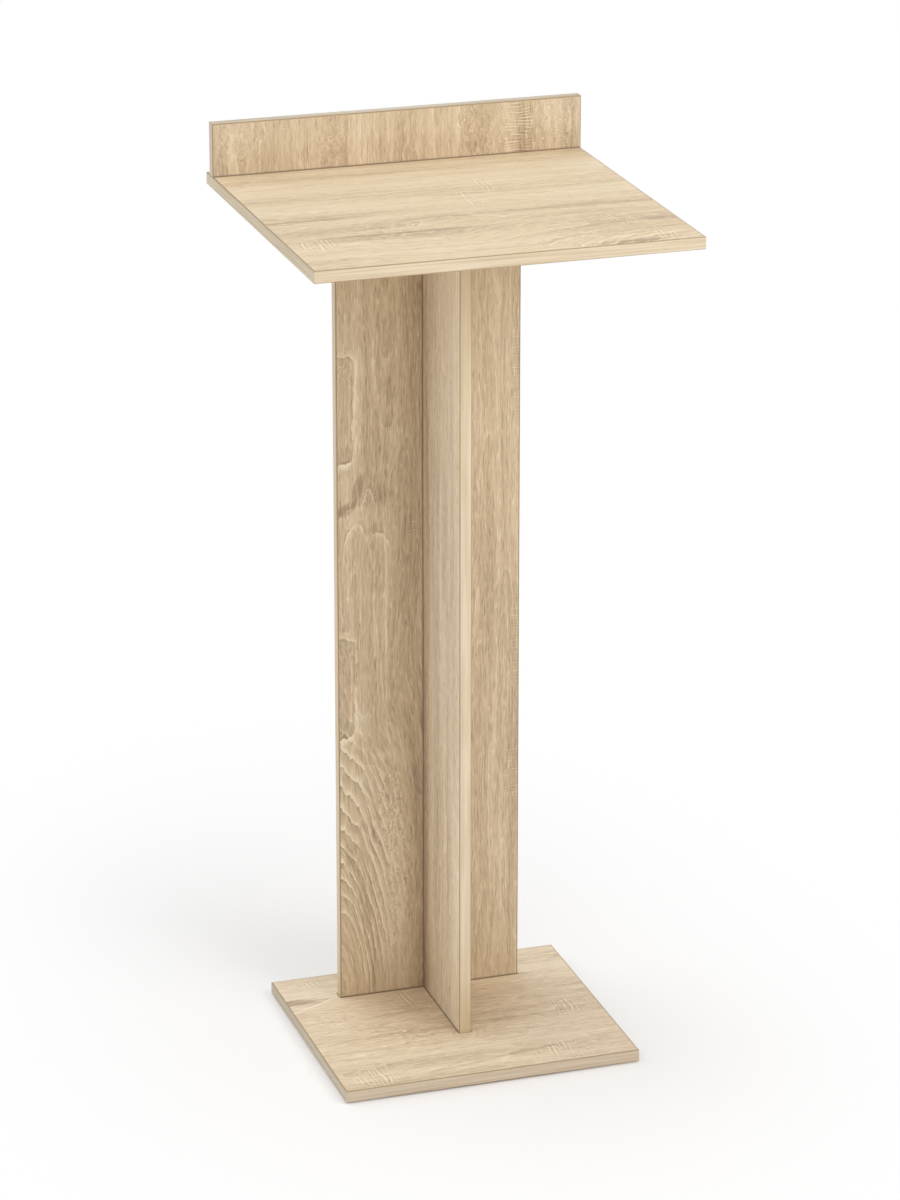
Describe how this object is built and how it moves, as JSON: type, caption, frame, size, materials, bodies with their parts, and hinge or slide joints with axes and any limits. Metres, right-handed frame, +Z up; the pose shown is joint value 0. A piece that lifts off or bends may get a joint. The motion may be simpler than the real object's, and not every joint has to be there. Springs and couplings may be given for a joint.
{
  "type": "presentation lectern",
  "caption": "Standing lectern in pale oak laminate: flat desk top with an upright rail along its far edge, on a T-shaped column and a flat base board.",
  "frame": {"origin": "on the floor, below the middle of the desk top", "axes": "+Z up, +Y towards the audience and the rail, +X to the speaker's right"},
  "size_m": [0.5, 0.49, 1.202],
  "materials": {
    "oak_laminate": "pale sonoma-oak melamine laminate on chipboard, matt with a fine open-pore emboss",
    "oak_band": "oak-printed ABS edge band, satin",
    "oak_cap": "moulded cap in the laminate's pale oak colour",
    "brown_plastic": "moulded polyethylene, matt",
    "plated_steel": "bright zinc-plated steel",
    "passivated_steel": "yellow-passivated zinc-plated steel",
    "cast_zinc": "raw zinc die casting, dull",
    "beech": "fluted beech dowel, raw"
  },
  "bodies": {
    "lectern": {"base_board": "oak_laminate", "base_band_front": "oak_band", "base_band_back": "oak_band", "base_band_left": "oak_band", "base_band_right": "oak_band", "column_panel": "oak_laminate", "panel_band_left": "oak_band", "panel_band_right": "oak_band", "column_fin": "oak_laminate", "fin_band_front": "oak_band", "top_board": "oak_laminate", "top_band_front": "oak_band", "top_band_back": "oak_band", "top_band_left": "oak_band", "top_band_right": "oak_band", "rail_board": "oak_laminate", "rail_band_upper": "oak_band", "rail_band_left": "oak_band", "rail_band_right": "oak_band", "glides": "brown_plastic", "glide_nails": "plated_steel", "base_panel_screws": "passivated_steel", "base_fin_screws": "passivated_steel", "fin_screws": "passivated_steel", "fin_screw_caps": "oak_cap", "rail_screws": "passivated_steel", "panel_dowels": "beech", "fin_dowels": "beech", "rail_dowels": "beech", "panel_cam_bolts": "plated_steel", "fin_cam_bolt": "plated_steel"},
    "panel_cam_left": {"panel_cam_left": "cast_zinc"},
    "panel_cam_right": {"panel_cam_right": "cast_zinc"},
    "fin_cam": {"fin_cam": "cast_zinc"}
  },
  "joints": [
    {"name": "panel_cam_left_turn", "type": "hinge", "parent": "lectern", "child": "panel_cam_left", "pos_m": [-0.075, 0.089, 1.082], "axis": [0, -1, 0], "range_deg": [0, 180]},
    {"name": "panel_cam_right_turn", "type": "hinge", "parent": "lectern", "child": "panel_cam_right", "pos_m": [0.075, 0.089, 1.082], "axis": [0, -1, 0], "range_deg": [0, 180]},
    {"name": "fin_cam_turn", "type": "hinge", "parent": "lectern", "child": "fin_cam", "pos_m": [0.008, 0.012, 1.082], "axis": [1, 0, 0], "range_deg": [0, 180]}
  ]
}
